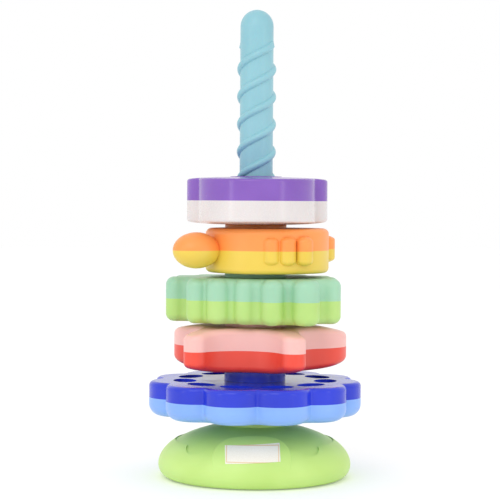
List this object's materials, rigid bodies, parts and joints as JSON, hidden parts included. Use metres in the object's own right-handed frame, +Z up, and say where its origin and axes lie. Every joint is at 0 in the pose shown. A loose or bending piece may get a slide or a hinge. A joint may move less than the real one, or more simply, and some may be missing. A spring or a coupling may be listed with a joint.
{
  "type": "stacking ring toy",
  "caption": "Spinning stacking toy: shaped two-colour plastic rings that twirl down a screw-ridged spindle onto a domed base",
  "frame": {"origin": "on the floor, at the spindle's axis", "axes": "+Z up along the spindle, -Y towards the front with the label, +X to the right seen from the front"},
  "size_m": [0.1582, 0.1575, 0.3496],
  "materials": {
    "lime_plastic": "satin injection-moulded ABS",
    "lime_plastic_plate": "fine matt injection-moulded ABS",
    "label_paper": "coated paper label",
    "foot_rubber": "soft matt rubber",
    "screw_steel": "zinc-plated steel",
    "aqua_plastic": "satin injection-moulded ABS",
    "deep_blue_plastic": "semi-gloss ABS",
    "sky_blue_plastic": "semi-gloss ABS",
    "pink_plastic": "satin ABS",
    "red_plastic": "satin ABS",
    "mint_plastic": "satin ABS",
    "leaf_plastic": "satin ABS",
    "orange_plastic": "satin ABS",
    "yellow_plastic": "satin ABS",
    "purple_plastic": "glossy ABS",
    "white_plastic": "glossy ABS"
  },
  "bodies": {
    "base": {"base_shell": "lime_plastic", "base_plate": "lime_plastic_plate", "base_label": "label_paper", "base_feet": "foot_rubber", "base_screws": "screw_steel", "spindle": "aqua_plastic", "spindle_screw": "screw_steel"},
    "blue_hub": {"blue_collar": "deep_blue_plastic"},
    "blue_ring": {"blue_top": "deep_blue_plastic", "blue_bottom": "sky_blue_plastic", "blue_screws": "screw_steel"},
    "red_hub": {"red_collar": "pink_plastic"},
    "red_ring": {"red_top": "pink_plastic", "red_bottom": "red_plastic", "red_screws": "screw_steel"},
    "green_hub": {"green_collar": "mint_plastic"},
    "green_ring": {"green_top": "mint_plastic", "green_bottom": "leaf_plastic", "green_screws": "screw_steel"},
    "orange_hub": {"orange_collar": "orange_plastic"},
    "orange_ring": {"orange_top": "orange_plastic", "orange_bottom": "yellow_plastic", "orange_screws": "screw_steel"},
    "purple_hub": {"purple_collar": "purple_plastic"},
    "purple_ring": {"purple_top": "purple_plastic", "purple_bottom": "white_plastic", "purple_screws": "screw_steel"}
  },
  "joints": [
    {"name": "blue_lift", "type": "slide", "parent": "base", "child": "blue_hub", "axis": [0, 0, 1], "range_m": [0, 0.3095]},
    {"name": "blue_spin", "type": "hinge", "parent": "blue_hub", "child": "blue_ring", "pos_m": [0, 0, 0.0606], "axis": [0, 0, 1], "range_deg": [0, 2720]},
    {"name": "red_lift", "type": "slide", "parent": "blue_ring", "child": "red_hub", "axis": [0, 0, 1], "range_m": [0, 0.2752]},
    {"name": "red_spin", "type": "hinge", "parent": "red_hub", "child": "red_ring", "pos_m": [0, 0, 0.0972], "axis": [0, 0, 1], "range_deg": [0, 2420]},
    {"name": "green_lift", "type": "slide", "parent": "red_ring", "child": "green_hub", "axis": [0, 0, 1], "range_m": [0, 0.2387]},
    {"name": "green_spin", "type": "hinge", "parent": "green_hub", "child": "green_ring", "pos_m": [0, 0, 0.1338], "axis": [0, 0, 1], "range_deg": [0, 2100]},
    {"name": "orange_lift", "type": "slide", "parent": "green_ring", "child": "orange_hub", "axis": [0, 0, 1], "range_m": [0, 0.2021]},
    {"name": "orange_spin", "type": "hinge", "parent": "orange_hub", "child": "orange_ring", "pos_m": [0, 0, 0.1704], "axis": [0, 0, 1], "range_deg": [0, 1780]},
    {"name": "purple_lift", "type": "slide", "parent": "orange_ring", "child": "purple_hub", "axis": [0, 0, 1], "range_m": [0, 0.1654]},
    {"name": "purple_spin", "type": "hinge", "parent": "purple_hub", "child": "purple_ring", "pos_m": [0, 0, 0.207], "axis": [0, 0, 1], "range_deg": [0, 1450]}
  ],
  "couplings": [
    {"joint": "blue_spin", "follows": "blue_lift", "rad_per_m": 152.88},
    {"joint": "red_spin", "follows": "red_lift", "rad_per_m": 152.88},
    {"joint": "green_spin", "follows": "green_lift", "rad_per_m": 152.88},
    {"joint": "orange_spin", "follows": "orange_lift", "rad_per_m": 152.88},
    {"joint": "purple_spin", "follows": "purple_lift", "rad_per_m": 152.88}
  ]
}
